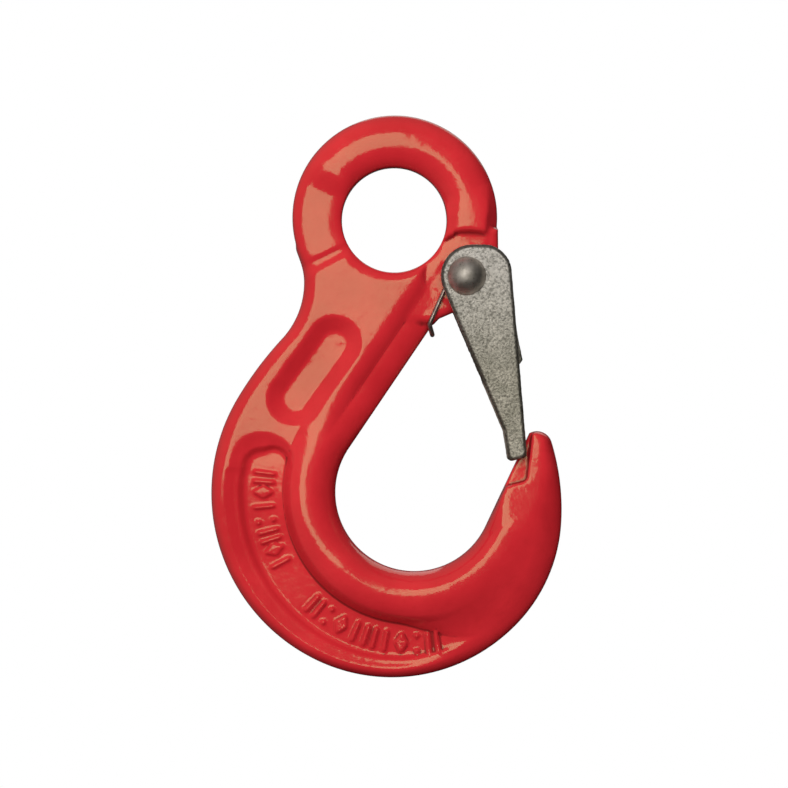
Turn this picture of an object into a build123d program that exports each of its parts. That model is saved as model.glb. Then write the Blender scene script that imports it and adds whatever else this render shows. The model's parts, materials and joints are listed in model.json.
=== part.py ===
from build123d import *
from math import cos, radians, sin
import os

# Eye sling hook with a spring latch, in millimetres.
# The origin is the centre of the eye. +Z points to the crown of the eye, +X to the side
# where the hook opens, and Y is the eye's axis. The hook is the same on both sides of Y = 0.

# How far a cut runs past the hook's faces
beyond = 20.0

# The eye
eye_bore_radius = 17.0
eye_ring_radius = 25.2
eye_ring_half_width = 9.0
eye_ring_half_thickness = 7.5

# The hook's flat web
web_half_thickness = 7.4
web_flank_half_thickness = 4.6
web_edge_inset = 3.2
web_top_radius = 24.0
web_top_sweep = 100.0

# The outer contour below the eye, from the left of the eye down and round to the tip:
# each arc's radius, and how far it turns to the left in degrees
eye_outer_centre = (0.2, 0.8)
eye_outer_radius = 33.3
contour_start_angle = 200.5
contour_arcs = [
    (26.8, -63.3),
    (115.5, 12.0),
    (60.2, 96.8),
    (56.4, 71.7),
    (51.6, 38.7),
    (74.35, 20.7),
    (5.0, 137.7),
]

# The throat: a round bowl between the straight shank and the straight inner side of the tip
bowl_centre = (6.5, -88.4)
bowl_radius = 25.6
tip_side_angle = -25.3
shank_side_angle = 145.9
shank_side_length = 48.0

# The thick rib that carries the load round the throat
rib_half_width = 8.35
rib_half_thickness = 11.8
rib_shank_half_thickness = 7.0
rib_tip_half_width = 5.5
rib_tip_half_thickness = 7.2
rib_tip_length = 25.0
web_throat_inset = 5.0

# Shallow pockets in the sides
oval_pocket_centre = (-26.1, -49.0)
oval_pocket_angle = 55.0
oval_pocket_length = 38.0
oval_pocket_width = 15.0
bowl_pocket_radius = 50.2
bowl_pocket_width = 12.5
bowl_pocket_start_angle = 168.0
bowl_pocket_sweep = 122.0
pocket_depth = 1.2

# The latch's pivot, and the tang that carries it
pivot = (23.4, -18.35)
tang_radius = 10.5
tang_half_thickness = 4.5
tang_recess_radius = 15.6
tang_root = [(7.0, -35.5), (2.0, -30.0), (10.0, -17.0), (24.0, -4.0), (33.5, -1.0)]
rivet_radius = 3.25
rivet_clearance = 0.06
rivet_head_radius = 6.25
rivet_head_height = 4.0

# The latch
latch_inner_half_width = 8.6
latch_half_width = 12.0
latch_nose_half_width = 8.2
latch_taper_start = -30.0
latch_bottom = -80.0
latch_reach = 60.0
latch_eye_end_centre = (25.2, -18.3)
latch_eye_end_radius = 10.2
latch_back_end_centre = (28.9, -17.2)
latch_back_end_radius = 9.1
latch_eye_end_sweep = 112.9
latch_right_slope = 5.5
latch_back_wall = 3.0
latch_knee = (35.4, -68.6)
latch_nose_left = (36.9, -78.5)
latch_nose_right = (43.1, -76.9)
latch_cavity_end = -52.0
thumb_ramp = [(39.3, -34.5), (41.7, -45.4), (41.0, -46.4), (37.5, -46.4), (36.5, -34.5)]
thumb_ramp_half_width = 6.0

# The tongue on the tip that the forked nose straddles, and the slot in the nose
tongue_half_thickness = 3.0
nose_side_clearance = 0.4
nose_wall_clearance = 0.7
tip_pocket_radius = 69.0
tip_pocket_top = -60.0
tip_pocket_bottom = -92.0
tip_pocket_left = 30.0
nose_slot = [(40.6, -60.0), (50.0, -60.0), (50.0, -85.0), (35.6, -85.0), (35.6, -79.0), (40.6, -69.0)]

# The spring
wire_radius = 0.75
coil_radius = 4.7
coil_pitch = 1.6
coil_start_angle = 156.0
coil_turns = 491.0 / 360.0
coil_inner_y = 5.45
coil_ease = 2.0
ease_radius = 30.0
leg_length = 17.0
bail_point = (12.4, -37.2)
bail_half_width = 3.6
tail_length = 15.5
tail_bend_radius = 6.0
leg_bend_radius = 1.4
tail_end_length = 5.0


def on_circle(centre, radius, angle):
    """The point of a circle at an angle from +X towards +Z."""
    return (centre[0] + radius * cos(radians(angle)), centre[1] + radius * sin(radians(angle)))


def throat_section(arc_radius, angle, travel=0.0, heading=0.0):
    """A plane across the throat rib: on the bowl at an angle, then travel further on."""
    x, z = on_circle(bowl_centre, arc_radius, angle)
    step_x, step_z = cos(radians(heading)), sin(radians(heading))
    return Plane(
        origin=(x + travel * step_x, 0, z + travel * step_z),
        x_dir=(cos(radians(angle)), 0, sin(radians(angle))),
        z_dir=(step_x, 0, step_z),
    )


contour_heading = radians(contour_start_angle + 90)
web_levels = [
    (-web_half_thickness, web_edge_inset),
    (-web_flank_half_thickness, 0.0),
    (web_flank_half_thickness, 0.0),
    (web_half_thickness, web_edge_inset),
]
tip_heading = tip_side_angle + 90
shank_heading = shank_side_angle - 90
pivot_plane = Plane(origin=(pivot[0], 0, pivot[1]), x_dir=(1, 0, 0), z_dir=(0, -1, 0))
tip_pocket_wall = latch_nose_right[0] + nose_wall_clearance
tip_pocket_limits = [
    (tip_pocket_left, tip_pocket_top),
    (tip_pocket_wall - 1.0, tip_pocket_top),
    (tip_pocket_wall, latch_nose_right[1]),
    (tip_pocket_wall, tip_pocket_bottom),
    (tip_pocket_left, tip_pocket_bottom),
]


# ---------------------------------------------------------------- hook body
with BuildPart() as hook_body:
    # the web, inside the outer contour and a little way back from the throat, with its
    # outer edge drawn in towards both faces
    for level, inset in web_levels:
        with BuildSketch(Plane.XZ.offset(level)):
            with BuildLine():
                start = on_circle(eye_outer_centre, eye_outer_radius - inset, contour_start_angle)
                web_top = CenterArc((0, 0), web_top_radius, contour_start_angle, web_top_sweep)
                Line(web_top @ 0, start)
                end = Vector(*start)
                heading = Vector(cos(contour_heading), sin(contour_heading))
                for radius, turn in contour_arcs:
                    shrink = inset if turn > 0 else -inset
                    arc = JernArc(start=end, tangent=heading, radius=radius - shrink, arc_size=turn)
                    end, heading = arc @ 1, arc % 1
                bowl = CenterArc(
                    bowl_centre,
                    bowl_radius + web_throat_inset,
                    tip_side_angle,
                    shank_side_angle - 360 - tip_side_angle,
                )
                Line(end, bowl @ 0)
                shank = PolarLine(bowl @ 1, shank_side_length, angle=shank_heading)
                Line(shank @ 1, web_top @ 1)
            make_face()
    loft(ruled=True)

    # the rib: full round in the bowl, thinner up the shank and out to the tip
    rib_radius = bowl_radius + rib_half_width
    with BuildSketch(throat_section(rib_radius, tip_side_angle, 0, tip_heading)):
        Ellipse(rib_half_width, rib_half_thickness)
    revolve(
        axis=Axis((bowl_centre[0], 0, bowl_centre[1]), (0, 1, 0)),
        revolution_arc=360 + tip_side_angle - shank_side_angle,
    )
    with BuildSketch(throat_section(rib_radius, shank_side_angle, 0, shank_heading)):
        Ellipse(rib_half_width, rib_half_thickness)
    with BuildSketch(
        throat_section(rib_radius, shank_side_angle, shank_side_length, shank_heading)
    ):
        Ellipse(rib_half_width, rib_shank_half_thickness)
    loft()
    with BuildSketch(throat_section(rib_radius, tip_side_angle, 0, tip_heading)):
        Ellipse(rib_half_width, rib_half_thickness)
    with BuildSketch(
        throat_section(bowl_radius + rib_tip_half_width, tip_side_angle, rib_tip_length, tip_heading)
    ):
        Ellipse(rib_tip_half_width, rib_tip_half_thickness)
    loft()

    # the eye's round ring
    with BuildSketch(Plane.XY):
        with Locations((eye_ring_radius, 0)):
            Ellipse(eye_ring_half_width, eye_ring_half_thickness)
    revolve(axis=Axis.Y)

    # the tang, thinner than the hook on both sides round the pivot
    for side in (1, -1):
        with BuildSketch(Plane.XZ.offset(side * tang_half_thickness)):
            with Locations(pivot):
                Circle(tang_recess_radius)
        extrude(amount=side * beyond, mode=Mode.SUBTRACT)
    with BuildSketch(Plane.XZ):
        with BuildLine():
            Polyline(*tang_root, close=True)
        make_face()
        with Locations(pivot):
            Circle(tang_radius)
    extrude(amount=tang_half_thickness, both=True)
    with Locations(pivot_plane):
        Hole(rivet_radius + rivet_clearance)

    # the eye's bore, straight over its middle
    with BuildSketch(Plane.XZ):
        Circle(eye_bore_radius)
    extrude(amount=beyond, both=True, mode=Mode.SUBTRACT)

    # shallow pockets in both sides
    for side in (1, -1):
        with BuildSketch(Plane.XZ.offset(side * (web_half_thickness - pocket_depth))):
            with Locations(Location((*oval_pocket_centre, 0), (0, 0, 1), oval_pocket_angle)):
                SlotOverall(oval_pocket_length, oval_pocket_width)
            pocket_line = CenterArc(
                bowl_centre,
                bowl_pocket_radius,
                bowl_pocket_start_angle,
                bowl_pocket_sweep,
                mode=Mode.PRIVATE,
            )
            SlotArc(pocket_line, bowl_pocket_width)
        extrude(amount=side * pocket_depth, mode=Mode.SUBTRACT)

    # the tip's side pockets, which leave the tongue
    for side in (1, -1):
        with BuildSketch(Plane.XZ.offset(side * tongue_half_thickness)):
            with Locations(pivot):
                Circle(tip_pocket_radius)
            with BuildLine():
                Polyline(*tip_pocket_limits, close=True)
            make_face(mode=Mode.INTERSECT)
        extrude(amount=side * beyond, mode=Mode.SUBTRACT)
hook_body.part.label = "hook_body"


# ---------------------------------------------------------------- latch
with BuildPart() as latch:
    right_slope = radians(latch_right_slope)
    with BuildSketch(Plane.XZ):
        with BuildLine():
            eye_end = CenterArc(latch_eye_end_centre, latch_eye_end_radius, 90, latch_eye_end_sweep)
            back_end = CenterArc(
                latch_back_end_centre, latch_back_end_radius, latch_right_slope, 90 - latch_right_slope
            )
            Polyline(eye_end @ 1, latch_knee, latch_nose_left, latch_nose_right, back_end @ 0)
            Line(back_end @ 1, eye_end @ 0)
        make_face()
    extrude(amount=latch_half_width, both=True)

    # the thumb ramp on the back
    with BuildSketch(Plane.XZ):
        with BuildLine():
            Polyline(*thumb_ramp, close=True)
        make_face()
    extrude(amount=thumb_ramp_half_width, both=True)

    # narrower towards the nose
    with BuildSketch(Plane.YZ):
        with BuildLine():
            Polyline(
                (-latch_half_width, 0),
                (-latch_half_width, latch_taper_start),
                (-latch_nose_half_width, latch_bottom),
                (latch_nose_half_width, latch_bottom),
                (latch_half_width, latch_taper_start),
                (latch_half_width, 0),
                close=True,
            )
        make_face()
    extrude(amount=latch_reach, mode=Mode.INTERSECT)

    # the cavity between the two cheeks, closed by the back wall and open to the throat
    back_x = latch_back_end_centre[0] + latch_back_end_radius - latch_back_wall
    back_z = latch_back_end_centre[1]
    cavity_depth = back_z - latch_cavity_end
    with BuildSketch(Plane.XZ):
        with BuildLine():
            Polyline(
                (0, 0),
                (back_x, 0),
                (back_x, back_z),
                (back_x + cavity_depth * sin(right_slope), latch_cavity_end),
                (0, latch_cavity_end),
                close=True,
            )
        make_face()
    extrude(amount=latch_inner_half_width, both=True, mode=Mode.SUBTRACT)

    # the slot in the nose that takes the tongue
    with BuildSketch(Plane.XZ):
        with BuildLine():
            Polyline(*nose_slot, close=True)
        make_face()
    extrude(amount=tongue_half_thickness + nose_side_clearance, both=True, mode=Mode.SUBTRACT)

    with Locations(pivot_plane):
        Hole(rivet_radius)
latch.part.label = "latch"


# ---------------------------------------------------------------- rivet
head_round = (rivet_head_radius**2 + rivet_head_height**2) / (2 * rivet_head_height)
with BuildPart() as latch_rivet:
    with BuildSketch(Plane(origin=(pivot[0], 0, pivot[1]), x_dir=(1, 0, 0), z_dir=(0, 0, 1))):
        with BuildLine():
            head_top = latch_half_width + rivet_head_height
            Line((0, -head_top), (0, head_top))
            RadiusArc((0, head_top), (rivet_head_radius, latch_half_width), head_round)
            Polyline(
                (rivet_head_radius, latch_half_width),
                (rivet_radius, latch_half_width),
                (rivet_radius, -latch_half_width),
                (rivet_head_radius, -latch_half_width),
            )
            RadiusArc((rivet_head_radius, -latch_half_width), (0, -head_top), head_round)
        make_face()
    revolve(axis=Axis((pivot[0], 0, pivot[1]), (0, 1, 0)))
latch_rivet.part.label = "latch_rivet"


# ---------------------------------------------------------------- spring
# One half runs from the middle of the bail up the leg, round the coil and down the tail.
# A short ease takes the coil's own slope out of the leg and the tail.
coil_plane = Plane(
    origin=(pivot[0], coil_inner_y, pivot[1]),
    x_dir=(cos(radians(coil_start_angle)), 0, sin(radians(coil_start_angle))),
    z_dir=(0, 1, 0),
)
coil = coil_plane * Helix(coil_pitch, coil_pitch * coil_turns, coil_radius)
leg_ease = (coil @ 0) - (coil % 0) * coil_ease
leg_angle = radians(coil_start_angle + 90)
leg_end = leg_ease + Vector(cos(leg_angle), 0, sin(leg_angle)) * leg_length
tail_ease = (coil @ 1) + (coil % 1) * coil_ease
tail_angle = radians(coil_start_angle - 360 * coil_turns - 90)
tail_bend = tail_ease + Vector(cos(tail_angle), 0, sin(tail_angle)) * tail_length
wall_slope = radians(latch_right_slope)
tail_end = tail_bend + Vector(sin(wall_slope), 0, -cos(wall_slope)) * tail_end_length
with BuildPart() as latch_spring:
    with BuildLine() as wire_path:
        FilletPolyline(
            (bail_point[0], 0, bail_point[1]),
            (bail_point[0], bail_half_width, bail_point[1]),
            leg_end,
            leg_ease,
            coil @ 0,
            radius=[leg_bend_radius, leg_bend_radius, ease_radius],
        )
        add(coil)
        FilletPolyline(coil @ 1, tail_ease, tail_bend, tail_end, radius=[ease_radius, tail_bend_radius])
    with BuildSketch(Plane(origin=(bail_point[0], 0, bail_point[1]), z_dir=(0, 1, 0))):
        Circle(wire_radius)
    sweep(path=wire_path.wires()[0])
    mirror(about=Plane.XZ)
latch_spring.part.label = "latch_spring"


os.makedirs("parts", exist_ok=True)
for piece in (hook_body, latch, latch_rivet, latch_spring):
    export_step(piece.part, f"parts/{piece.part.label}.step")
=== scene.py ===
"""Eye hook with latch: the looks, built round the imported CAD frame.

The forging and the latch are smooth implicit solids, written in millimetres in the frame's
own axes: the origin is the centre of the eye, +Z points to the crown, +X to the side where
the hook opens, and Y is the eye's axis. Each becomes one closed mesh, in metres.
"""

import json
import math

import bpy
import numpy as np
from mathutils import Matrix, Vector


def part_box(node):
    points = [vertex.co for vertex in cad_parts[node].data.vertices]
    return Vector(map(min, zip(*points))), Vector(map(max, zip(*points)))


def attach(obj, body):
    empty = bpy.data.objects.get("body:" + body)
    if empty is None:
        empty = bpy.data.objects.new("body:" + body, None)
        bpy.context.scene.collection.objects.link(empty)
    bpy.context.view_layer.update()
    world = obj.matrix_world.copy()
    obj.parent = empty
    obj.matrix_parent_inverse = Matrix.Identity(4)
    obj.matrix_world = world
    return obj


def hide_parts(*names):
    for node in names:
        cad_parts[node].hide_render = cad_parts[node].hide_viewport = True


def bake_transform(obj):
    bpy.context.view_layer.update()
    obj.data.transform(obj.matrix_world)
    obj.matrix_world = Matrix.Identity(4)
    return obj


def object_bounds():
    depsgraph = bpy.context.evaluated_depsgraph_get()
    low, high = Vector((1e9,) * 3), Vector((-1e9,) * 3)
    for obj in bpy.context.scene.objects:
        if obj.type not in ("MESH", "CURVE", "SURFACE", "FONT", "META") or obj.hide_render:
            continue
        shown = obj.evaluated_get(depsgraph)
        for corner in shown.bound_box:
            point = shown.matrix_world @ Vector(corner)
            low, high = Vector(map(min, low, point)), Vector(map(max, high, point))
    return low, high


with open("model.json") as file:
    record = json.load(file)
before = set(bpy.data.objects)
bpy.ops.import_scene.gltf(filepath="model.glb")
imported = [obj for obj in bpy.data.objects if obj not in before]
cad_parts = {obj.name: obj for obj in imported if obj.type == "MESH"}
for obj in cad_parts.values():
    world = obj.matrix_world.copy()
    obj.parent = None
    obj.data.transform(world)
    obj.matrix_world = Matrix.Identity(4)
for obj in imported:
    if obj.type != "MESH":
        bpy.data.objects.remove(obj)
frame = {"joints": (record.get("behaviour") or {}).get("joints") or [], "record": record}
cad_low, cad_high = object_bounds()

MM = 0.001
BODY_CELL = 0.57
LATCH_CELL = 0.42

# The eye. Circles are (x, z, radius), and heights are measured from the middle plane.
BORE = frame["record"]["mounts"][0]["dims"]["r_mm"]
EYE_OUTER = (0.2, 0.8, 33.3)
EYE_THICKNESS = 7.5
BEVEL_EDGE = 0.7
BEVEL_SLOPE = 1.7
PRESS_START = 141
RING_TURNS = [-40, 4, 22, 50, 90, 135, 160, 200]
RING_SQUARENESS = [3.2, 3.0, 2, 2, 2.3, 2.3, 4, 4.4]

# The web, between the ring and the bowl: its plateau sinks a little towards the ring
PLATEAU = 7.4
PLATEAU_SLOPE = 0.018
VALLEY_ANGLE = 208.0
VALLEY_HEIGHT = 4.6

# The throat's edge: an arc round the bowl between two straight sides
BOWL = (6.5, -88.4, 25.6)
SHANK_SIDE = math.radians(145.9)
TIP_SIDE = math.radians(-25.3)

# The outer edge leaves the ring at an angle and goes down the back, round the bowl and up
# to the tip. Each arc is (radius, degrees turned).
CONTOUR_START = 200.5
WEB_START = CONTOUR_START - 5
CONTOUR = [
    (26.8, -63.3),
    (115.5, 12.0),
    (60.2, 96.8),
    (56.4, 71.7),
    (51.6, 38.7),
    (74.35, 20.7),
    (5.0, 137.7),
]

# The rib round the bowl, at angles round the bowl's centre, and the bead that continues it
# up the shank
RIB_HEIGHT = 11.7
RIB_TURNS = [146, 180, 225, 290, 335]
RIB_HEIGHTS = [8.6, 10.2, RIB_HEIGHT, RIB_HEIGHT, 9.6]
CREST_TURNS = [150, 168, 192, 206, 222, 270, 308, 335, 352, 364]
CREST_INSETS = [10.4, 11, 11, 9.8, 8.5, 7.9, 7.3, 6.6, 9.4, 10.2]
FLANK_END = 17.0
TIP_HEIGHT = 7.4
BEAD_WIDTH = 8.05
BEAD_HEIGHT = 4.5
BEAD_SLOPE = 0.11
RISE_WIDTH = 6.6

# The oval pocket in the shank, and the long one round the bowl
OVAL_CENTRE = (-25.8, -49.0)
OVAL_ANGLE = math.radians(54.4)
OVAL_HALF_LENGTH = 11.0
OVAL_HALF_WIDTH = 8.8
OVAL_DEPTH = 2.5
OVAL_WALL = 4.8
LONG_DEPTH = 2.8
LONG_TOP = (-42.9, -80.2, 11.3)
LONG_INNER = 16.4
LONG_END = 304
FLOOR_SLOPE = 0.03
MARK_LOW = 46.0
MARK_HIGH = 51.8
MARK_HEIGHT = 0.95
MARK_REACH = 1.15

# The pivot, the tang that the latch hangs on, and the tongue that its nose rests on
PIVOT = [v / MM for v in frame["joints"][0]["pos_m"]]
PIN = (PIVOT[0], PIVOT[2])
PIN_HOLE = 3.31
TANG_RADIUS = 10.9
TANG_HALF = 4.5
TANG_RECESS = 13.4
TANG_STEP = -5.3
TANG_FOOT = -32.0
TANG = [
    (3.0, -33.0),
    (12.9, -33.6),
    (14.6, -32.0),
    (19.0, -30.1),
    (24.0, -29.2),
    (33.9, -17.0),
    (33.7, -3.0),
    (24.0, 0.0),
    (10.0, -14.5),
    (0.0, -28.0),
]
TONGUE_HALF = 3.0
NOSE_REACH = 69.0
NOSE_WALL = 43.8
BOX_ALLOWANCE = 0.02

# The latch: half-widths, its side view's corners, the cavity, the thumb ramp and the slot
LATCH_HALF = 12.0
LATCH_NOSE_HALF = 8.2
LATCH_TAPER_TOP = -30.0
LATCH_TAPER_BOTTOM = -80.0
LATCH_INNER_HALF = 8.6
LATCH_EDGE = 1.4
EYE_END = (25.2, -18.3, 10.2)
BACK_END = (28.9, -17.2, 9.1)
BACK_SLOPE = 5.5
BACK_WALL = 3.0
KNEE = (35.4, -68.6)
NOSE_LEFT = (36.9, -78.5)
NOSE_RIGHT = (43.1, -76.9)
CAVITY_END = -52.0
THUMB_RAMP = [(36.5, -34.5), (37.5, -46.4), (41.0, -46.4), (41.7, -45.4), (39.3, -34.5)]
THUMB_HALF = 6.0
NOSE_SLOT = [(40.6, -60), (40.6, -69), (35.6, -79), (35.6, -85), (50, -85), (50, -60)]
SLOT_GAP = 0.4
GRAIN_ALLOWANCE = 0.09

# The rivet and the spring
HEAD_RADIUS = 6.25
HEAD_HEIGHT = 4.0
HEAD_FLAT = 0.10
SHAFT_RADIUS = 3.25
WIRE = 0.75
COIL_RADIUS = 4.7
COIL_PITCH = 1.6
COIL_START = 156.0
COIL_DEGREES = 491.0
COIL_Y = 5.45
BAIL = (12.4, -37.2)
BAIL_HALF = 3.6
LEG_LENGTH = 17.0
TAIL_LENGTH = 15.5
TAIL_END = 5.0


# ---------------------------------------------------------------- implicit shapes
def smooth_step(t):
    """0 below t = 0, 1 above t = 1, and an S-curve between."""
    t = np.clip(t, 0.0, 1.0)
    return t * t * (3 - 2 * t)


def ease(value, start, end):
    """0 at start, 1 at end, held beyond them, and an S-curve between."""
    return smooth_step((value - start) / (end - start))


def smooth_max(a, b, k):
    """The larger of two fields, rounded where they are within k of each other."""
    h = np.maximum(k - np.abs(a - b), 0.0) / k
    return np.maximum(a, b) + h * h * k / 4


def smooth_min(a, b, k):
    return -smooth_max(-a, -b, k)


def corner(inside, height, wide, tall, y):
    """A slab of half-thickness height, whose edge at inside = 0 is rounded by an ellipse."""
    across = wide - inside
    up = (np.abs(y) - (height - tall)) * (wide / tall)
    rounded = np.hypot(np.maximum(across, 0), np.maximum(up, 0))
    return rounded + np.minimum(np.maximum(across, up), 0) - wide


def chain(start, heading, moves):
    """The straights and arcs of a smooth line, each given as (radius, turn) or (None, length)."""
    (x, z), line = start, []
    for radius, amount in moves:
        if radius is None:
            end = (x + amount * math.cos(heading), z + amount * math.sin(heading))
            line.append(("straight", (x, z), end))
            x, z = end
            continue
        side = math.copysign(math.pi / 2, amount)
        centre = (x + radius * math.cos(heading + side), z + radius * math.sin(heading + side))
        line.append(("arc", centre, radius, heading - side, math.radians(amount)))
        heading += math.radians(amount)
        x = centre[0] + radius * math.cos(heading - side)
        z = centre[1] + radius * math.sin(heading - side)
    return line


def chain_distance(x, z, line):
    """Signed distance to a smooth line, positive on its left."""
    best = np.full(np.broadcast(x, z).shape, 1e9)
    signed = best.copy()
    for piece in line:
        if piece[0] == "straight":
            (ax, az), (bx, bz) = piece[1:]
            length = math.hypot(bx - ax, bz - az)
            ux, uz = (bx - ax) / length, (bz - az) / length
            along = np.clip((x - ax) * ux + (z - az) * uz, 0, length)
            gap = np.hypot(x - ax - along * ux, z - az - along * uz)
            left = ux * (z - az) - uz * (x - ax)
        else:
            (cx, cz), radius, first, turn = piece[1:]
            rho = np.hypot(x - cx, z - cz)
            way = math.copysign(1, turn)
            progress = (way * (np.arctan2(z - cz, x - cx) - first)) % (2 * math.pi)
            to_ends = [
                np.hypot(x - cx - radius * math.cos(end), z - cz - radius * math.sin(end))
                for end in (first, first + turn)
            ]
            gap = np.where(progress <= abs(turn), np.abs(radius - rho), np.minimum(*to_ends))
            left = way * (radius - rho)
        closer = gap < best
        best = np.where(closer, gap, best)
        signed = np.where(closer, np.where(left >= 0, gap, -gap), signed)
    return signed


def polygon_distance(x, z, points):
    """Signed distance to a closed polygon, positive inside."""
    best = np.full(np.broadcast(x, z).shape, 1e9)
    inside = np.zeros(best.shape, bool)
    for (ax, az), (bx, bz) in zip(points, points[1:] + points[:1]):
        ux, uz = bx - ax, bz - az
        t = np.clip(((x - ax) * ux + (z - az) * uz) / (ux * ux + uz * uz), 0, 1)
        best = np.minimum(best, np.hypot(x - ax - t * ux, z - az - t * uz))
        if az != bz:
            inside ^= ((az > z) != (bz > z)) & (x < (bx - ax) * (z - az) / (bz - az) + ax)
    return np.where(inside, best, -best)


def segment_distance(x, z, p, q):
    """Distance to the straight line between two points."""
    ux, uz = q[0] - p[0], q[1] - p[1]
    t = np.clip(((x - p[0]) * ux + (z - p[1]) * uz) / (ux * ux + uz * uz + 1e-12), 0, 1)
    return np.hypot(x - p[0] - t * ux, z - p[1] - t * uz)


def rounded_path(points, radii, step=0.35):
    """Points along straight runs whose corners are arcs of the given radii."""
    path = [points[0]]
    for i in range(1, len(points) - 1):
        a, b, c = points[i - 1], points[i], points[i + 1]
        u, v = (a - b) / np.linalg.norm(a - b), (c - b) / np.linalg.norm(c - b)
        opening = math.acos(float(np.clip(u @ v, -1, 1)))
        cut = radii[i - 1] / math.tan(opening / 2)
        middle = (u + v) / np.linalg.norm(u + v)
        centre = b + middle * radii[i - 1] / math.sin(opening / 2)
        first, last = b + u * cut - centre, b + v * cut - centre
        sweep = math.pi - opening
        steps = max(3, int(sweep * radii[i - 1] / step))
        for k in range(steps + 1):
            before, after = math.sin((1 - k / steps) * sweep), math.sin(k / steps * sweep)
            path.append(centre + (first * before + last * after) / math.sin(sweep))
    path.append(points[-1])
    return path


def surface_mesh(field, low, high, cell):
    """Surface nets of field = 0, then each vertex is moved on to the true surface."""
    counts = [int(math.ceil((b - a) / cell)) + 1 for a, b in zip(low, high)]
    axes = [low[i] + cell * np.arange(counts[i]) for i in range(3)]
    gx, gy, gz = np.meshgrid(*axes, indexing="ij", sparse=True)
    value = field(gx, gy, gz)
    inside = value < 0
    cells = [n - 1 for n in counts]
    total = np.zeros(cells + [3])
    hits = np.zeros(cells)
    corners = [(i, j, k) for i in (0, 1) for j in (0, 1) for k in (0, 1)]
    for a in corners:
        for axis in range(3):
            if a[axis]:
                continue
            b = tuple(a[i] + (i == axis) for i in range(3))
            sa = tuple(slice(a[i], a[i] + cells[i]) for i in range(3))
            sb = tuple(slice(b[i], b[i] + cells[i]) for i in range(3))
            cross = inside[sa] != inside[sb]
            span = value[sa] - value[sb]
            t = np.where(cross, value[sa] / np.where(cross, span, 1), 0)
            for i in range(3):
                total[..., i] += np.where(cross, a[i] + (t if i == axis else 0), 0)
            hits += cross
    active = hits > 0
    number = np.full(cells, -1)
    number[active] = np.arange(active.sum())
    where = np.argwhere(active)
    points = (where + total[active] / hits[active][:, None]) * cell + np.array(low)
    quads = []
    for axis in range(3):
        u, v = (axis + 1) % 3, (axis + 2) % 3
        low_end = [slice(1, -1)] * 3
        low_end[axis] = slice(0, -1)
        high_end = list(low_end)
        high_end[axis] = slice(1, None)
        first, second = inside[tuple(low_end)], inside[tuple(high_end)]
        found = np.argwhere(first != second)
        outward = first[tuple(found.T)]
        ring = []
        for du, dv in ((0, 0), (1, 0), (1, 1), (0, 1)):
            at = found.copy()
            at[:, u] += du
            at[:, v] += dv
            ring.append(number[tuple(at.T)])
        ring = np.array(ring).T
        quads.append(np.where(outward[:, None], ring, ring[:, ::-1]))
    points = settle(field, points, cell)
    return points, np.concatenate(quads)


def gradient(field, p, h=0.03):
    """The field's slope at each point, by central differences."""
    parts = []
    for axis in range(3):
        step = np.zeros(3)
        step[axis] = h
        parts.append((field(*(p + step).T) - field(*(p - step).T)) / (2 * h))
    return np.array(parts).T


def settle(field, points, cell):
    """The points moved on to field = 0, each no further than most of a cell."""
    home = points.copy()
    for _ in range(3):
        slope = gradient(field, points)
        size = np.maximum((slope**2).sum(1), 0.05)
        points = points - (field(*points.T) / size)[:, None] * slope
        drift = points - home
        far = np.linalg.norm(drift, axis=1, keepdims=True)
        points = home + drift * np.minimum(1, 0.8 * cell / np.maximum(far, 1e-9))
    return points


def add_piece(mesh, material):
    """A smooth-shaded object for a finished mesh, with the mesh's name."""
    mesh.validate()
    mesh.shade_smooth()
    mesh.materials.append(material)
    piece = bpy.data.objects.new(mesh.name, mesh)
    bpy.context.scene.collection.objects.link(piece)
    return piece


def add_faces(name, points, faces, material):
    """A piece from points in millimetres and faces of any size."""
    mesh = bpy.data.meshes.new(name)
    mesh.from_pydata((points * MM).tolist(), [], faces)
    return add_piece(mesh, material)


def add_quads(name, points, faces, material):
    """A piece from points in millimetres and many faces of one size."""
    mesh = bpy.data.meshes.new(name)
    sides = faces.shape[1]
    mesh.vertices.add(len(points))
    mesh.vertices.foreach_set("co", (points * MM).astype(np.float32).ravel())
    mesh.loops.add(faces.size)
    mesh.loops.foreach_set("vertex_index", faces.astype(np.int32).ravel())
    mesh.polygons.add(len(faces))
    mesh.polygons.foreach_set("loop_start", np.arange(0, faces.size, sides, dtype=np.int32))
    mesh.update(calc_edges=True)
    return add_piece(mesh, material)


def hollowness(field, points, reach):
    """How enclosed each point is: above 0 in grooves and corners, below 0 on edges."""
    total = 6 * field(*points.T)
    for axis in range(3):
        for way in (-1, 1):
            step = np.zeros(3)
            step[axis] = way * reach
            total -= field(*(points + step).T)
    return np.clip(total / (reach * 2.0), -1, 1)


def implicit_piece(name, box, fields, pad, cell, reach, material):
    """The surface field = 0 round a CAD node's box, with the hollowness of its plain shape."""
    field, plain_shape = fields
    low = [v / MM - pad for v in box[0]]
    high = [v / MM + pad for v in box[1]]
    points, faces = surface_mesh(field, low, high, cell)
    piece = add_quads(name, points, faces, material)
    layer = piece.data.attributes.new("hollow", "FLOAT", "POINT")
    layer.data.foreach_set("value", hollowness(plain_shape, points, reach).astype(np.float32))
    return piece


# ---------------------------------------------------------------- the forging
def body_contour():
    """The outer edge, with a straight run into the ring and a way out up the throat's mouth."""
    start = math.radians(CONTOUR_START)
    x = EYE_OUTER[0] + EYE_OUTER[2] * math.cos(start)
    z = EYE_OUTER[1] + EYE_OUTER[2] * math.sin(start)
    heading = start + math.pi / 2
    lead = 60.0
    before = (x - lead * math.cos(heading), z - lead * math.sin(heading))
    way_out = [(None, 18.0), (4.0, -149.8), (None, 200.0)]
    return chain(before, heading, [(None, lead)] + CONTOUR + way_out)


BODY_CONTOUR = body_contour()


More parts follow.
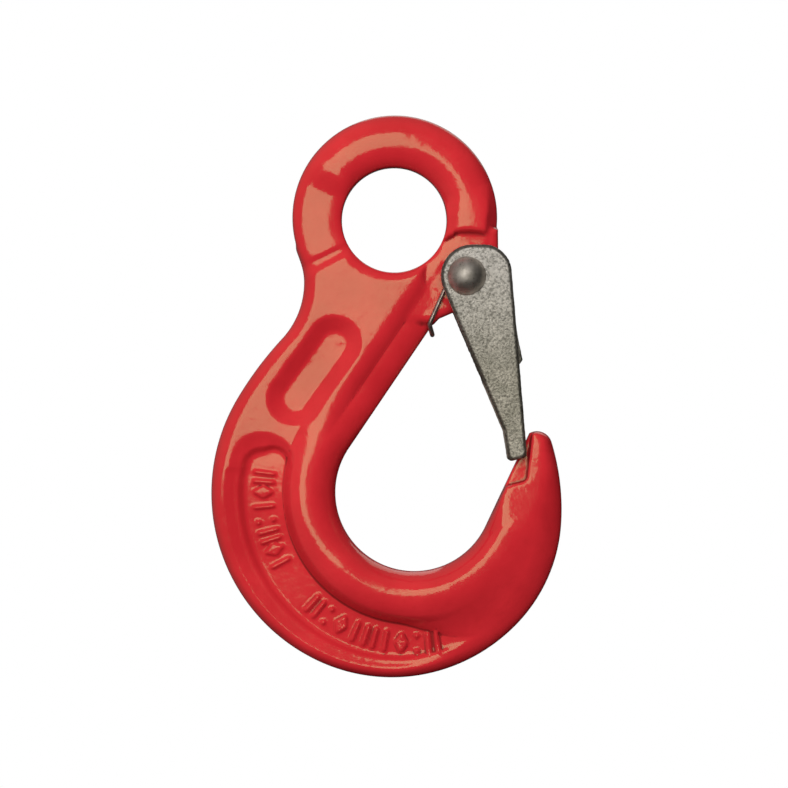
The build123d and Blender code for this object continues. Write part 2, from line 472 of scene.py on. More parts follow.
def throat_distance(x, z):
    """Distance from the throat's edge into the metal, and the angle round the bowl."""
    dx, dz = x - BOWL[0], z - BOWL[1]
    angle = np.arctan2(dz, dx) % (2 * math.pi)
    shank = dx * math.cos(SHANK_SIDE) + dz * math.sin(SHANK_SIDE)
    tip = dx * math.cos(TIP_SIDE) + dz * math.sin(TIP_SIDE)
    middle = math.radians(60)
    to_edge = np.where((angle > middle) & (angle < SHANK_SIDE), shank, np.hypot(dx, dz))
    on_tip = (angle <= middle) | (angle > TIP_SIDE + 2 * math.pi)
    to_edge = np.where(on_tip, tip, to_edge)
    return to_edge - BOWL[2], np.degrees(np.where(angle < middle, angle + 2 * math.pi, angle))


def below_line(x, z, degrees):
    """Distance below the line from the eye's centre at an angle."""
    return z * math.cos(math.radians(degrees)) - x * math.sin(math.radians(degrees))


def travel_up(x, z, side, turn):
    """How far a point lies along the straight side of the throat, past the bowl."""
    heading = side + turn * math.pi / 2
    return (x - BOWL[0]) * math.cos(heading) + (z - BOWL[1]) * math.sin(heading)


def two_stage_wall(into, rim, ledge, foot, lip=0.0):
    """Depth share of a pocket wall: gentle from its rim to a ledge, then steep to its foot."""
    gentle = np.clip((into - rim) / (ledge - lip - rim), None, 1)
    steep = ease(into, ledge, foot)
    return 0.3 * gentle + 0.7 * steep + np.clip((into - foot) / 3, 0, None)


def long_pocket(x, z, outer, inner, angle):
    """Depth share of the curved pocket, 0 on its rim to 1 on its floor."""
    # the outer wall comes closer to the hook's edge as it goes down and round
    low = ease(angle, 185, 280)
    side = two_stage_wall(outer, 4.2 - 1.2 * low, 8.3 - 3.2 * low, 11.3 - 3.9 * low, 0.35)
    flank = (inner - LONG_INNER + 2.2) / 2.2

    # the round top, steeper towards the rib, gives way to the side walls further down
    cx, cz, radius = LONG_TOP
    from_top = np.hypot(x - cx, np.maximum(z - cz, 0))
    toward_rib = smooth_step((x - cx) / np.maximum(from_top, 0.1))
    cap = two_stage_wall(radius - from_top, 0, 4.1 - 3.1 * toward_rib, 7.1 - 3.9 * toward_rib)
    cap = cap + np.clip((cz - z) / 7, 0, None)
    cap = np.where(z > cz - 12, cap, 9.0)

    end = (LONG_END - angle) / 22
    share = smooth_min(smooth_min(side, cap, 0.25), smooth_min(flank, end, 0.25), 0.25)
    share = np.where(angle < 120, -1, share)
    return smooth_min(np.clip(share, 0, None), 1.0, 0.15)


def oval_pocket(x, z):
    """Depth share of the oval pocket in the shank."""
    reach = (OVAL_HALF_LENGTH * math.cos(OVAL_ANGLE), OVAL_HALF_LENGTH * math.sin(OVAL_ANGLE))
    p = (OVAL_CENTRE[0] - reach[0], OVAL_CENTRE[1] - reach[1])
    q = (OVAL_CENTRE[0] + reach[0], OVAL_CENTRE[1] + reach[1])
    share = (OVAL_HALF_WIDTH - segment_distance(x, z, p, q)) / OVAL_WALL
    return smooth_min(smooth_max(share, 0.0, 0.15), 1.0, 0.15)


def mark_strokes():
    """Generic raised marks: bars, lozenges and dots in two rows along the long pocket.

    Each stroke is a pair of points (degrees round the bowl, distance from its centre). A row
    is its first mark's angle, the angle from mark to mark, and the marks' names.
    """
    low, high, middle = MARK_LOW, MARK_HIGH, (MARK_LOW + MARK_HIGH) / 2
    shapes = {
        "bar": [((0, low), (0, high))],
        "pair": [((-1.7, low), (-1.7, high)), ((1.7, low), (1.7, high))],
        "dots": [((0, low + 0.3), (0, low + 0.5)), ((0, high - 0.5), (0, high - 0.3))],
        "lozenge": [
            ((-1.7, middle), (0, low + 0.4)),
            ((0, low + 0.4), (1.7, middle)),
            ((1.7, middle), (0, high - 0.4)),
            ((0, high - 0.4), (-1.7, middle)),
            ((-0.8, middle), (0.8, middle)),
            ((0, low + 1.5), (0, high - 1.5)),
        ],
    }
    rows = [
        (174.2, 5.6, ["pair", "lozenge", "bar", "dots", "pair", "lozenge", "bar"]),
        (229.0, 6.0, ["pair", "dots", "lozenge", "bar", "pair", "bar", "lozenge", "dots", "pair"]),
    ]
    strokes = []
    for first, pitch, names in rows:
        for i, name in enumerate(names):
            for a, b in shapes[name]:
                at = first + pitch * i
                strokes.append(((at + a[0], a[1]), (at + b[0], b[1])))
    return strokes


MARKS = mark_strokes()


def mark_height(x, z, angle):
    """Height of the raised marks, on the floor of the long pocket."""
    radius = np.hypot(x - BOWL[0], z - BOWL[1])
    near = np.full(radius.shape, 9.0)
    for (a0, r0), (a1, r1) in MARKS:
        scale = math.radians(0.5 * (r0 + r1))
        ends = (a0 * scale, r0), (a1 * scale, r1)
        near = np.minimum(near, segment_distance(angle * scale, radius, *ends))
    return MARK_HEIGHT * ease(near, MARK_REACH, MARK_REACH - 1.1)


def shank_face(inner, plateau):
    """Half-thickness across the shank: a low bead by the throat, then a rise to the plateau."""
    across = np.clip((inner - BEAD_WIDTH) / RISE_WIDTH, 0, 1)
    rise = (plateau - BEAD_HEIGHT) * (1 - (1 - across) ** 2.6)
    return BEAD_HEIGHT + rise - BEAD_SLOPE * np.clip(BEAD_WIDTH - inner, 0, None)


def body_heights(x, z):
    """The forging's plan: the half-thickness of its faces, and its two rounded edges.

    An edge is (distance into the metal, width of the rounding, height of the rounding).
    """
    inner, angle = throat_distance(x, z)
    outer = chain_distance(x, z, BODY_CONTOUR)
    up_shank = travel_up(x, z, SHANK_SIDE, -1)
    up_tip = travel_up(x, z, TIP_SIDE, 1)
    in_bowl = 1 - ease(up_shank, -6, 20) * (angle < 180)
    on_tip = np.where(angle > 270, ease(up_tip, 0, 22), 0)
    right = ease(angle, 262, 302)

    plateau = PLATEAU - PLATEAU_SLOPE * np.clip(z + 80, 0, 32)
    shank = shank_face(inner, plateau)

    # the rib: a crest some way in from the throat, then a convex flank with a steep foot
    crest_at = np.interp(angle, CREST_TURNS, CREST_INSETS)
    crest = np.interp(angle, RIB_TURNS, RIB_HEIGHTS)
    crest = crest + (TIP_HEIGHT - crest) * on_tip
    base_top = plateau - 0.7 * ease(angle, 178, 208)
    depth = LONG_DEPTH - 0.5 * ease(angle, 178, 238)
    pocket = long_pocket(x, z, outer, inner, angle)
    floor_slope = FLOOR_SLOPE * np.clip(inner - LONG_INNER, 0, 12)
    base = base_top - (depth + floor_slope) * pocket
    base = base + (5.6 - base) * right
    flank_end = FLANK_END + 9.0 * right
    share = np.clip((inner - crest_at) / (flank_end - crest_at), 0, 1)
    steep = (1 - share ** (1.35 + 0.85 * ease(angle, 190, 230))) ** 0.85
    soft = 0.5 + 0.5 * np.cos(math.pi * share)
    fall = steep + (soft - steep) * np.maximum(right, on_tip)
    ridge = base + np.maximum(crest - base, 0) * fall
    face = shank + (ridge - shank) * in_bowl
    face = face - OVAL_DEPTH * oval_pocket(x, z)

    # a soft valley lies between the ring and the plateau
    out_of_valley = ease(below_line(x, z, VALLEY_ANGLE), -1.8, 4.2)
    face = VALLEY_HEIGHT + (face - VALLEY_HEIGHT) * out_of_valley

    half = np.maximum(inner + outer, 2) / 2
    rib_wide = BEAD_WIDTH + (crest_at - BEAD_WIDTH) * in_bowl
    inner_wide = np.minimum(rib_wide, half)
    inner_tall = np.minimum(face, 0.97 * crest)
    outer_wide = 5.0 - 1.0 * ease(angle, 165, 185) * (angle < 330)
    outer_wide = outer_wide + (9.5 - outer_wide) * right
    outer_wide = np.minimum(outer_wide + on_tip * 4, half)
    outer_tall = np.minimum(5.2 + 0.4 * right + 3 * on_tip, face)
    edges = (inner, inner_wide, inner_tall), (outer, outer_wide, outer_tall)
    return angle, face, pocket, edges


def ring_field(x, y, z):
    """The eye's ring: round at the top, and thinner and squarer where the forging was pressed."""
    to_outer = EYE_OUTER[2] - np.hypot(x - EYE_OUTER[0], z - EYE_OUTER[1])
    to_bore = np.hypot(x, z) - BORE + 0.8
    around = np.degrees(np.arctan2(z, x))
    around = np.where(around < -90, around + 360, around)
    power = np.interp(around, RING_TURNS, RING_SQUARENESS)
    press = ease(around, PRESS_START, PRESS_START + 19)
    tall = EYE_THICKNESS - 1.6 * press - 1.9 * np.clip((around - 205) / 12, 0, 1)
    tall = tall - 3.5 * ease(around, -25, -45)
    half = (to_outer + to_bore) / 2
    off = np.abs(to_outer - to_bore) / 2
    section = ((off / half) ** power + (np.abs(y) / tall) ** power) ** (1 / power)
    # a bevel on the outer side, widest where the ring meets the tang
    narrowing = 0.06 * np.clip(around, 0, 120)
    bevel = np.abs(y) - BEVEL_EDGE - BEVEL_SLOPE * (to_outer + narrowing)
    return smooth_max((section - 1) * tall, bevel / math.hypot(1, BEVEL_SLOPE), 0.5)


def tang_recess(x, y, z, from_pin):
    """The faces round the tang: thin by the pin, with a sloped step up to ring and shank."""
    straight = np.maximum(z - TANG_STEP - 0.03 * (x - PIN[0]), TANG_FOOT - z)
    straight = np.where(x > PIN[0] - 4, straight, 9.0)
    away = smooth_min(from_pin - TANG_RECESS, straight, 2.0)
    steep = 1.15 + 0.9 * ease(z, -12, -7)
    slope = np.abs(y) - TANG_HALF - steep * np.maximum(away, 0)
    return slope / np.hypot(1, steep)


def tang_field(x, y, z, from_pin):
    """The tang and its round end, a little thicker towards the ring."""
    lean = 0.08 * np.clip(z + 11, 0, 8) * ease(x - PIN[0], -6, -2)
    side = np.abs(y) - TANG_HALF - lean
    tang = smooth_max(-polygon_distance(x, z, TANG), side, 2.6)
    disc = smooth_max(from_pin - TANG_RADIUS, side, 1.6)
    return smooth_min(tang, disc, 0.8)


def tip_pockets(x, y, z, from_pin):
    """The side pockets at the tip, which leave a tongue for the latch's nose."""
    pocket = smooth_max(from_pin - NOSE_REACH, x - NOSE_WALL - 0.1 * (z + 76.9), 1.5)
    pocket = smooth_max(pocket, TONGUE_HALF - np.abs(y), 0.4)
    return np.maximum(pocket, np.maximum(z + 60, 30 - x))


def hook_field(x, y, z):
    """The forging: negative inside, positive outside."""
    angle, face, pocket, edges = body_heights(x, z)
    marks = np.where(pocket > 0.05, mark_height(x, z, angle) * smooth_step(pocket * 1.6), 0)
    face = face + marks * (y < 0)
    web = np.maximum(*(corner(into, face, wide, tall, y) for into, wide, tall in edges))
    bore = np.hypot(x, z) - BORE
    web = smooth_max(web, corner(bore + 0.4, face, 4.4, 4.4, y), 0.8)
    web = smooth_max(web, -below_line(x, z, WEB_START), 2.0)
    solid = smooth_min(web, ring_field(x, y, z), 1.6)

    from_pin = np.hypot(x - PIN[0], z - PIN[1])
    solid = smooth_max(solid, tang_recess(x, y, z, from_pin), 0.9)
    solid = smooth_min(solid, tang_field(x, y, z, from_pin), 1.0)
    solid = smooth_max(solid, -bore, 0.5)
    solid = np.maximum(solid, PIN_HOLE - from_pin)
    return smooth_max(solid, -tip_pockets(x, y, z, from_pin), 0.7) + BOX_ALLOWANCE


def make_hook(material):
    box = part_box("hook_body")
    fields = hook_field, hook_field
    return implicit_piece("hook_forging", box, fields, 1.6, BODY_CELL, 0.9, material)


# ---------------------------------------------------------------- the latch
def on_circle(circle, degrees):
    """The point on an (x, z, radius) circle at an angle."""
    x, z, radius = circle
    turn = math.radians(degrees)
    return x + radius * math.cos(turn), z + radius * math.sin(turn)


def latch_outline():
    """The latch's side view, anticlockwise from its top: the throat side, the nose, the back."""
    points = [on_circle(EYE_END, degrees) for degrees in range(90, 204, 4)]
    back_start = on_circle(BACK_END, BACK_SLOPE)
    nose = [np.array(p) for p in (points[-1], KNEE, NOSE_LEFT, NOSE_RIGHT, back_start)]
    points += [tuple(p) for p in rounded_path(nose, [4.0, 1.3, 1.3], 0.5)[1:-1]]
    back_steps = 21
    for step in range(back_steps + 1):
        points.append(on_circle(BACK_END, BACK_SLOPE + (90 - BACK_SLOPE) * step / back_steps))
    return points


LATCH_OUTLINE = latch_outline()


def cast_noise(x, y, z):
    """Waviness and sand grain of the mould, in millimetres.

    Each wave has its rates along x, y and z, in radians per millimetre, and its phase.
    """
    coarse = [
        (0.9, 0.4, 0.7, 0.3),
        (-0.5, 1.1, 0.8, 1.7),
        (1.3, -0.7, -0.5, 2.9),
        (-1.1, -0.9, 1.4, 4.1),
    ]
    fine = [
        (3.1, 1.9, 1.2, 0.9),
        (-1.3, 2.4, 3.3, 2.2),
        (2.4, -2.2, 2.7, 3.8),
        (-3.4, 1.1, 2.0, 5.1),
        (0.7, 3.0, -3.6, 1.1),
        (3.9, -1.6, -1.4, 4.6),
        (-2.2, -2.7, 3.9, 2.7),
    ]
    height = 0.0
    for size, waves in ((0.012, coarse), (0.016, fine)):
        for a, b, c, phase in waves:
            height = height + size * np.sin(a * x + b * y + c * z + phase)
    return height


def latch_shape(x, y, z):
    """The casting without its grain."""
    edge = polygon_distance(x, z, LATCH_OUTLINE)
    taper = np.clip((LATCH_TAPER_TOP - z) / (LATCH_TAPER_TOP - LATCH_TAPER_BOTTOM), 0, 1)
    half = LATCH_HALF + (LATCH_NOSE_HALF - LATCH_HALF) * taper
    shell = corner(edge, half, LATCH_EDGE, LATCH_EDGE, y)
    ramp = corner(polygon_distance(x, z, THUMB_RAMP), THUMB_HALF, 0.8, 0.8, y)
    solid = smooth_min(shell, ramp, 1.0)

    slope = math.tan(math.radians(BACK_SLOPE))
    wall = BACK_END[0] + BACK_END[2] - BACK_WALL + slope * np.clip(BACK_END[1] - z, 0, None)
    cavity = smooth_max(x - wall, CAVITY_END - z, 3.0)
    cavity = smooth_max(cavity, np.abs(y) - LATCH_INNER_HALF, 1.5)
    solid = smooth_max(solid, -cavity, 0.8)
    slot_side = np.abs(y) - TONGUE_HALF - SLOT_GAP
    slot = smooth_max(-polygon_distance(x, z, NOSE_SLOT), slot_side, 0.5)
    solid = smooth_max(solid, -slot, 0.5)
    from_pin = np.hypot(x - PIN[0], z - PIN[1])
    return np.maximum(solid, SHAFT_RADIUS - from_pin) + GRAIN_ALLOWANCE


def latch_field(x, y, z):
    """The casting with its grain: negative inside, positive outside."""
    return latch_shape(x, y, z) + cast_noise(x, y, z)


def make_latch(material):
    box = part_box("latch")
    fields = latch_field, latch_shape
    return implicit_piece("latch_casting", box, fields, 1.2, LATCH_CELL, 0.6, material)


# ---------------------------------------------------------------- the rivet
def rivet_profile():
    """(radius, distance from the middle plane) down the front head and half the shaft."""
    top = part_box("latch_rivet")[1].y / MM
    seat = top - HEAD_HEIGHT
    bulge = (HEAD_RADIUS**2 + HEAD_HEIGHT**2) / (2 * HEAD_HEIGHT)
    reach = math.asin(HEAD_RADIUS / bulge) - 0.06
    dome_steps = 14
    profile = [(0.0, top - HEAD_FLAT)]
    for i in range(1, dome_steps + 1):
        turn = reach * i / dome_steps
        radius = bulge * math.sin(turn)
        flat = HEAD_FLAT * math.exp(-((radius / 2.2) ** 2))
        profile.append((radius, top - bulge * (1 - math.cos(turn)) - flat))
    return profile + [
        (HEAD_RADIUS - 0.06, seat + 0.30),
        (HEAD_RADIUS, seat + 0.05),
        (HEAD_RADIUS - 0.25, seat - 0.06),
        (SHAFT_RADIUS, seat - 0.06),
    ]


def make_rivet(material):
    """Both domed heads and the shaft, turned about the pin and very slightly out of round."""
    half = rivet_profile()
    profile = half + [(r, -y) for r, y in reversed(half)]
    around = 96
    turns = np.arange(around) * 2 * math.pi / around
    rings = []
    for r, y in profile[1:-1]:
        wobble = 1 + 0.004 * np.sin(3 * turns + 1.0) * (y > 0) + 0.004 * np.sin(2 * turns)
        across = PIN[0] + r * wobble * np.cos(turns)
        up = PIN[1] + r * wobble * np.sin(turns)
        rings.append(np.stack([across, np.full(around, -y), up], 1))
    poles = np.array([(PIN[0], -y, PIN[1]) for _, y in (profile[0], profile[-1])])
    points = np.concatenate(rings + [poles])
    front, rear = len(points) - 2, len(points) - 1
    last = (len(rings) - 1) * around
    faces = []
    for i in range(around):
        j = (i + 1) % around
        for k in range(0, last, around):
            faces.append((k + j, k + i, k + around + i, k + around + j))
        faces.append((front, i, j))
        faces.append((rear, last + j, last + i))
    return add_faces("rivet_forged", points, faces, material)


# ---------------------------------------------------------------- the spring
def coil_point(degrees):
    """A point on the coil, which turns clockwise seen from the front as it moves outward."""
    turn = math.radians(COIL_START - degrees)
    return np.array(
        [
            PIN[0] + COIL_RADIUS * math.cos(turn),
            COIL_Y + COIL_PITCH * degrees / 360,
            PIN[1] + COIL_RADIUS * math.sin(turn),
        ]
    )


def spring_path():
    """The wire's centre line: tail, coil and leg, the bail, then the same on the other side."""
    start, finish = coil_point(0), coil_point(COIL_DEGREES)
    out = coil_point(0.01) - start
    out = out / np.linalg.norm(out)
    leave = finish - coil_point(COIL_DEGREES - 0.01)
    leave = leave / np.linalg.norm(leave)
    leg_angle = math.radians(COIL_START + 90)
    tail_angle = math.radians(COIL_START - COIL_DEGREES - 90)
    leg_ease = start - out * 2
    leg_end = leg_ease + np.array([math.cos(leg_angle), 0, math.sin(leg_angle)]) * LEG_LENGTH
    tail_ease = finish + leave * 2
    tail_bend = tail_ease + np.array([math.cos(tail_angle), 0, math.sin(tail_angle)]) * TAIL_LENGTH
    wall = math.radians(BACK_SLOPE)
    tail_tip = tail_bend + np.array([math.sin(wall), 0, -math.cos(wall)]) * TAIL_END
    bail_middle = np.array([BAIL[0], 0, BAIL[1]])
    bail_side = np.array([BAIL[0], BAIL_HALF, BAIL[1]])
    half = rounded_path([bail_middle, bail_side, leg_end, leg_ease, start], [1.4, 1.4, 30])
    half += [coil_point(d) for d in np.arange(4, COIL_DEGREES, 4)]
    half += rounded_path([finish, tail_ease, tail_bend, tail_tip], [30, 6])
    half = np.array(half)
    mirrored = half[::-1] * np.array([1, -1, 1])
    return np.concatenate([mirrored[:-1], half])


def tube(path, radius, sides):
    """A closed tube along a path, with rounded ends."""
    keep = np.concatenate([[True], np.linalg.norm(np.diff(path, axis=0), axis=1) > 0.02])
    path = path[keep]
    heading = np.gradient(path, axis=0)
    heading /= np.linalg.norm(heading, axis=1, keepdims=True)
    side = np.cross(heading[0], [0, 1, 0.3])
    side /= np.linalg.norm(side)
    rings, angles = [], np.arange(sides) * 2 * math.pi / sides
    for i, (p, t) in enumerate(zip(path, heading)):
        side = side - t * (side @ t)
        side /= np.linalg.norm(side)
        up = np.cross(t, side)
        rings.append(p + radius * (np.outer(np.cos(angles), side) + np.outer(np.sin(angles), up)))
    caps = []
    for end, way in ((0, -1), (-1, 1)):
        for share, out in ((0.92, 0.4), (0.7, 0.75)):
            ring = path[end] + (rings[end] - path[end]) * share + way * heading[end] * radius * out
            caps.append(ring)
    rings = [caps[1], caps[0]] + rings + [caps[2], caps[3]]
    points = np.concatenate(rings)
    faces = []
    for k in range(len(rings) - 1):
        for i in range(sides):
            j = (i + 1) % sides
            faces.append((k * sides + j, (k + 1) * sides + j, (k + 1) * sides + i, k * sides + i))
    last = (len(rings) - 1) * sides
    faces.append(tuple(reversed(range(sides))))
    faces.append(tuple(last + i for i in range(sides)))
    return points, faces


def make_spring(material):
    points, faces = tube(spring_path(), WIRE, 16)
    return add_faces("spring_wire", points, faces, material)


# ---------------------------------------------------------------- materials
def map_range(tree, value, low, high, to_low, to_high):
    """The value carried from one range to another, and held at the ends."""
    node = tree.nodes.new("ShaderNodeMapRange")
    tree.links.new(value, node.inputs["Value"])
    sockets = ("From Min", "From Max", "To Min", "To Max")
    for socket, number in zip(sockets, (low, high, to_low, to_high)):
        node.inputs[socket].default_value = number
    return node.outputs["Result"]


class Nodes:
    """A short way to build one material's node tree."""

    def __init__(self, name):
        self.material = bpy.data.materials.new(name)
        self.material.use_nodes = True
        self.tree = self.material.node_tree
        self.shader = self.tree.nodes["Principled BSDF"]
        self.place = self.tree.nodes.new("ShaderNodeTexCoord").outputs["Object"]

    def noise(self, size_mm, detail=3.0, roughness=0.55):
        node = self.tree.nodes.new("ShaderNodeTexNoise")
        self.tree.links.new(self.place, node.inputs["Vector"])
        node.inputs["Scale"].default_value = 1 / (size_mm * MM)
        node.inputs["Detail"].default_value = detail
        node.inputs["Roughness"].default_value = roughness
        return node.outputs["Fac"]

    def point_value(self, name):
        node = self.tree.nodes.new("ShaderNodeAttribute")
        node.attribute_name = name
        return node.outputs["Fac"]

    def height(self):
        node = self.tree.nodes.new("ShaderNodeSeparateXYZ")
        self.tree.links.new(self.place, node.inputs[0])
        return node.outputs["Z"]

    def ramp(self, value, low, high, to_low=0.0, to_high=1.0):
        return map_range(self.tree, value, low, high, to_low, to_high)

    def mix(self, amount, first, second):
        node = self.tree.nodes.new("ShaderNodeMix")
        node.data_type = "RGBA"
        self.tree.links.new(amount, node.inputs["Factor"])
        for socket, colour in ((node.inputs[6], first), (node.inputs[7], second)):
            if isinstance(colour, tuple):
                socket.default_value = (*colour, 1)
            else:
                self.tree.links.new(colour, socket)
        return node.outputs[2]

    def bump(self, value, strength, distance_mm, under=None):
        node = self.tree.nodes.new("ShaderNodeBump")
        node.inputs["Strength"].default_value = strength
        node.inputs["Distance"].default_value = distance_mm * MM
        self.tree.links.new(value, node.inputs["Height"])
        if under is not None:
            self.tree.links.new(under, node.inputs["Normal"])
        return node.outputs["Normal"]

    def set(self, **sockets):
        for name, value in sockets.items():
            socket = self.shader.inputs[name.replace("_", " ")]
            if isinstance(value, bpy.types.NodeSocket):
                self.tree.links.new(value, socket)
            else:
                socket.default_value = value


def enamel():
    """Thick glossy red enamel over a forged skin. Its tinted sheen is salmon on the flats."""
    n = Nodes("red_enamel")
    colour = n.mix(n.ramp(n.noise(22), 0.35, 0.65), (0.52, 0.018, 0.026), (0.60, 0.023, 0.032))
    colour = n.mix(n.ramp(n.noise(2.6, 4), 0.52, 0.75, 0, 0.35), colour, (0.49, 0.018, 0.022))
    # painted shade: the red turns much darker in grooves, corners and recesses
    painted_hollow_shade = n.ramp(n.point_value("hollow"), 0.06, 0.42, 0, 0.8)
    colour = n.mix(painted_hollow_shade, colour, (0.18, 0.011, 0.012))
    skin = n.bump(n.noise(9.0, 2), 0.4, 0.25)
    peel = n.bump(n.noise(3.0, 3), 0.55, 0.16, skin)
    n.set(
        Base_Color=colour,
        Roughness=n.ramp(n.noise(5.0, 4), 0.3, 0.7, 0.07, 0.15),
        Normal=peel,
        Specular_IOR_Level=0.6,
        Specular_Tint=(0.38, 1.0, 0.57, 1),
    )
    return n.material


def cast_zinc():
    """Rough sand casting under dull zinc plate, with painted shade in its corners and on its
    edges, and painted light towards its top.
    """
    n = Nodes("cast_zinc")
    grain = n.noise(0.72, 3, 0.6)
    colour = n.mix(n.ramp(n.noise(6, 4), 0.35, 0.65), (0.53, 0.50, 0.405), (0.75, 0.70, 0.585))
    # painted light: the casting turns pale towards its top
    colour = n.mix(n.ramp(n.height(), -0.05, -0.012, 0, 0.8), colour, (0.98, 0.93, 0.88))
    colour = n.mix(n.ramp(grain, 0.36, 0.54, 0.62, 0), colour, (0.10, 0.092, 0.066))
    # painted shade: near black in the corners and on the rounded edges
    painted_shade = (0.05, 0.045, 0.035)
    corner_shade = n.ramp(n.point_value("hollow"), 0.1, 0.6, 0, 0.7)
    edge_shade = n.ramp(n.point_value("hollow"), -0.24, -0.14, 0.9, 0)
    colour = n.mix(edge_shade, n.mix(corner_shade, colour, painted_shade), painted_shade)
    coarse = n.bump(n.noise(1.6, 3), 0.7, 0.4)
    fine = n.bump(grain, 1.0, 0.8, coarse)
    roughness = n.ramp(grain, 0.3, 0.7, 0.62, 0.42)
    n.set(Base_Color=colour, Metallic=0.6, Roughness=roughness, Normal=fine)
    return n.material


def rivet_steel():
    """Dark steel with a satin polish."""
    n = Nodes("rivet_steel")
    colour = n.mix(n.ramp(n.noise(3.2, 4), 0.35, 0.68), (0.52, 0.48, 0.43), (0.85, 0.79, 0.74))
    colour = n.mix(n.ramp(n.noise(0.7, 3), 0.6, 0.72, 0, 0.5), colour, (0.08, 0.075, 0.06))
    skin = n.bump(n.noise(1.5, 3), 0.35, 0.06)
    roughness = n.ramp(n.noise(2.2, 3), 0.3, 0.7, 0.5, 0.6)
    n.set(Base_Color=colour, Metallic=1.0, Roughness=roughness, Normal=skin)
    return n.material


def spring_steel():
    """Oiled spring wire."""
    n = Nodes("spring_steel")
    colour = n.mix(n.ramp(n.noise(1.2, 3), 0.4, 0.65), (0.26, 0.20, 0.18), (0.55, 0.45, 0.40))
    skin = n.bump(n.noise(0.5, 2), 0.2, 0.03)
    roughness = n.ramp(n.noise(0.9, 2), 0.3, 0.7, 0.25, 0.4)
    n.set(Base_Color=colour, Metallic=0.9, Roughness=roughness, Normal=skin)
    return n.material


def floor_paint():
    """Pale studio floor."""
    n = Nodes("pale_floor")
    colour = n.mix(n.ramp(n.noise(260, 3), 0.3, 0.7), (0.80, 0.80, 0.79), (0.84, 0.84, 0.83))
    n.set(Base_Color=colour, Roughness=0.9)
    return n.material


# ---------------------------------------------------------------- camera, floor and light
FRAME_WIDTH = 0.2562
LENS = 200.0
SENSOR = 36.0
FLOOR_DROP = 0.22
UP_LEFT = (-0.62, 0.0, 0.62)
REFLECTED = (-0.3, 0.9, 0.0, 0.26)
FILL = (-0.6, 0.6, 0.0, 0.55)
AIM = ((cad_low.x + cad_high.x) / 2 + 0.0024, (cad_low.z + cad_high.z) / 2 + 0.0007)


def add_camera():
    data = bpy.data.cameras.new("camera")
    data.lens = LENS
    data.sensor_width = SENSOR
    data.clip_start = 0.05
    data.clip_end = 40
    camera = bpy.data.objects.new("camera", data)
    bpy.context.scene.collection.objects.link(camera)
    camera.location = (AIM[0], -FRAME_WIDTH * LENS / SENSOR, AIM[1])
    camera.rotation_euler = (math.pi / 2, 0, 0)
    bpy.context.scene.camera = camera


def add_floor(material):
    bpy.ops.mesh.primitive_plane_add(size=2.4, location=(0, 0, cad_low.z - FLOOR_DROP))
    floor = bpy.context.object
    floor.name = "floor"
    floor.data.materials.append(material)
    floor.visible_diffuse = False
    floor.visible_glossy = False


def add_softbox(name, azimuth, elevation, half_angles, distance, radiance, colour):
    """A rectangular light seen from the object at an angle; azimuth 0 is the camera's side."""
    a, e = math.radians(azimuth), math.radians(elevation)
    back = (math.sin(a) * math.cos(e), -math.cos(a) * math.cos(e), math.sin(e))
    wide, tall = (2 * distance * math.tan(math.radians(h)) for h in half_angles)
    data = bpy.data.lights.new(name, "AREA")
    data.shape = "RECTANGLE"
    data.size = wide
    data.size_y = tall
    data.color = colour
    data.energy = radiance * math.pi * wide * tall
    lamp = bpy.data.objects.new(name, data)
    bpy.context.scene.collection.objects.link(lamp)
    centre = (AIM[0], 0.0, AIM[1])
    lamp.location = [c + distance * b for c, b in zip(centre, back)]
    lamp.rotation_euler = (math.pi / 2 - e, 0, a)
    lamp.visible_camera = False
    return lamp


def background(tree, colour, strength=None):
    """A world background, of strength 1 where no strength is linked."""
    node = tree.nodes.new("ShaderNodeBackground")
    node.inputs["Color"].default_value = (*colour, 1)
    if strength is not None:
        tree.links.new(strength, node.inputs["Strength"])
    return node.outputs["Background"]


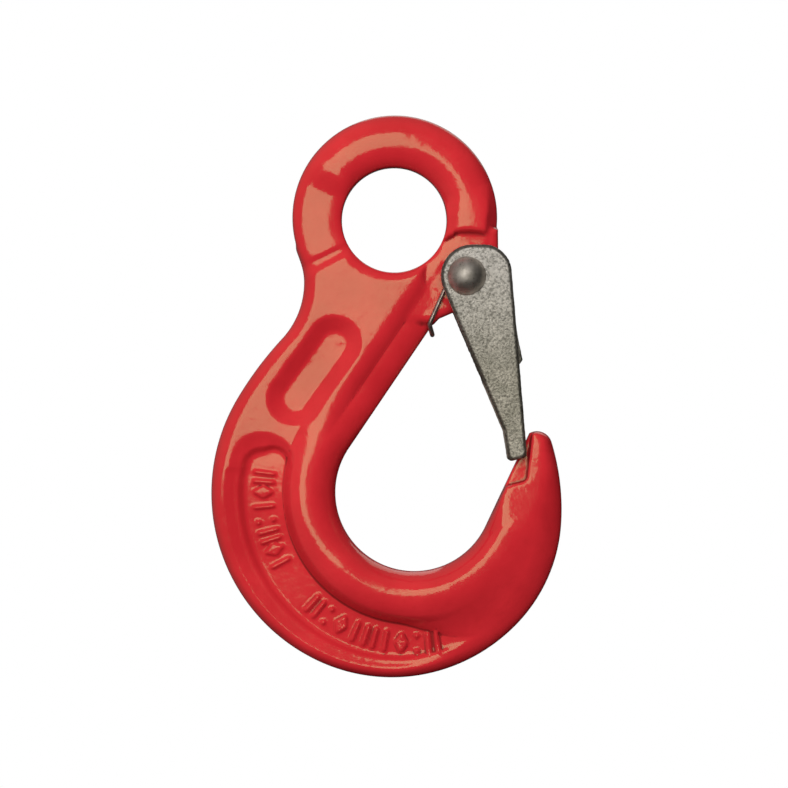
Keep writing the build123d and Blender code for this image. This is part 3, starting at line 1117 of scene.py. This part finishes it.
def by_ray(tree, is_kind, others, this_kind):
    """One shader for a kind of ray, and another for the rest."""
    node = tree.nodes.new("ShaderNodeMixShader")
    tree.links.new(is_kind, node.inputs["Fac"])
    tree.links.new(others, node.inputs[1])
    tree.links.new(this_kind, node.inputs[2])
    return node.outputs["Shader"]


def add_world():
    """White to the camera. The soft fill and the reflections both fade down and to the right."""
    world = bpy.data.worlds.new("studio")
    bpy.context.scene.world = world
    world.use_nodes = True
    tree = world.node_tree
    tree.nodes.clear()
    path = tree.nodes.new("ShaderNodeLightPath")
    place = tree.nodes.new("ShaderNodeTexCoord")
    lean = tree.nodes.new("ShaderNodeVectorMath")
    lean.operation = "DOT_PRODUCT"
    lean.inputs[1].default_value = UP_LEFT
    tree.links.new(place.outputs["Generated"], lean.inputs[0])
    leaning = lean.outputs["Value"]
    reflected = background(tree, (1.0, 0.97, 0.93), map_range(tree, leaning, *REFLECTED))
    fill = background(tree, (1.0, 0.99, 0.96), map_range(tree, leaning, *FILL))
    white = background(tree, (1, 1, 1))
    surroundings = by_ray(tree, path.outputs["Is Diffuse Ray"], reflected, fill)
    seen = by_ray(tree, path.outputs["Is Camera Ray"], surroundings, white)
    output = tree.nodes.new("ShaderNodeOutputWorld")
    tree.links.new(seen, output.inputs["Surface"])


add_camera()
add_world()
add_softbox("key_softbox", -9, 14, (13, 16), 1.2, 3.15, (1.0, 0.98, 0.90))
add_softbox("rear_softbox", 168, 34, (20, 14), 1.2, 0.7, (1.0, 0.99, 0.95))
# the bounce cards light the paint from both sides without showing in its reflections
for name, azimuth, radiance in (("front_bounce", -5, 3.35), ("rear_bounce", 168, 2.2)):
    bounce = add_softbox(name, azimuth, 18, (24, 24), 1.2, radiance, (1.0, 0.99, 0.97))
    bounce.visible_glossy = False
add_floor(floor_paint())
bpy.context.scene.view_settings.view_transform = "Standard"

# ---------------------------------------------------------------- the pieces: hook, latch and rivet each on its body, and the spring
hook = make_hook(enamel())
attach(hook, "hook")
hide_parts("hook_body")

latch = make_latch(cast_zinc())
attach(latch, "latch")
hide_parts("latch")

rivet = make_rivet(rivet_steel())
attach(rivet, "latch")
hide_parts("latch_rivet")

spring = make_spring(spring_steel())
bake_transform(spring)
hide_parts("latch_spring")
